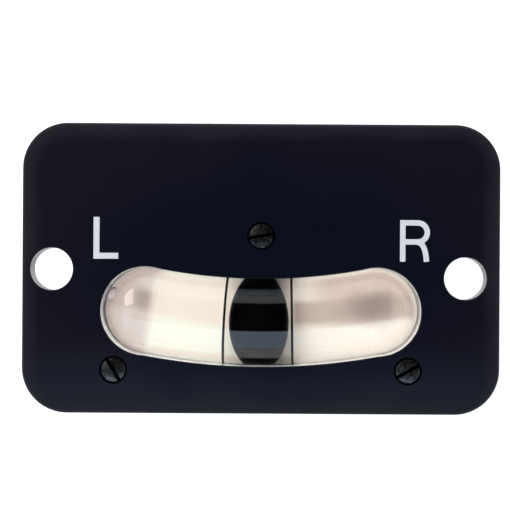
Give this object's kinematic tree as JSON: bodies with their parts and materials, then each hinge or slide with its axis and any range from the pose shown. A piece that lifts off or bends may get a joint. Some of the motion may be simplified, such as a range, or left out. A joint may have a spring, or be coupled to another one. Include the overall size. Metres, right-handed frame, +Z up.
{
  "type": "slip indicator",
  "caption": "Panel-mounted slip indicator: a black ball in a curved, liquid-filled glass tube behind a window in a flat plate.",
  "frame": {"origin": "middle of the front plate, on its rear face, where it seats on the panel", "axes": "+Z up, +X to the viewer's right, the face looks along -Y and the housing goes into the panel along +Y"},
  "size_m": [0.056, 0.0135, 0.034],
  "materials": {
    "plate_paint": "satin",
    "housing_plastic": "matte",
    "seal_rubber": "matte",
    "tube_glass": "polished",
    "plug_resin": "satin",
    "damping_liquid": "clear",
    "ball_glass": "polished",
    "marker_enamel": "gloss",
    "liner_white": "matte",
    "cushion_rubber": "matte",
    "screw_steel": "burnished",
    "washer_steel": "satin",
    "insert_brass": "satin"
  },
  "bodies": {
    "root": {"front_plate": "plate_paint", "rear_housing": "housing_plastic", "window_gasket": "seal_rubber", "glass_tube": "tube_glass", "fill_plug": "plug_resin", "damping_fluid": "damping_liquid", "marker_wire_left": "marker_enamel", "marker_wire_right": "marker_enamel", "reflector": "liner_white", "tube_cushion_left": "cushion_rubber", "tube_cushion_right": "cushion_rubber", "case_screw_top": "screw_steel", "case_screw_left": "screw_steel", "case_screw_right": "screw_steel", "lock_washer_top": "washer_steel", "lock_washer_left": "washer_steel", "lock_washer_right": "washer_steel", "thread_insert_top": "insert_brass", "thread_insert_left": "insert_brass", "thread_insert_right": "insert_brass"},
    "ball": {"ball": "ball_glass"}
  },
  "joints": [
    {"name": "ball_roll", "type": "hinge", "parent": "root", "child": "ball", "pos_m": [0, 0.0028, 0.06367], "axis": [0, -1, 0], "range_deg": [-10.15, 11.35], "deforming": ["damping_fluid"]}
  ]
}
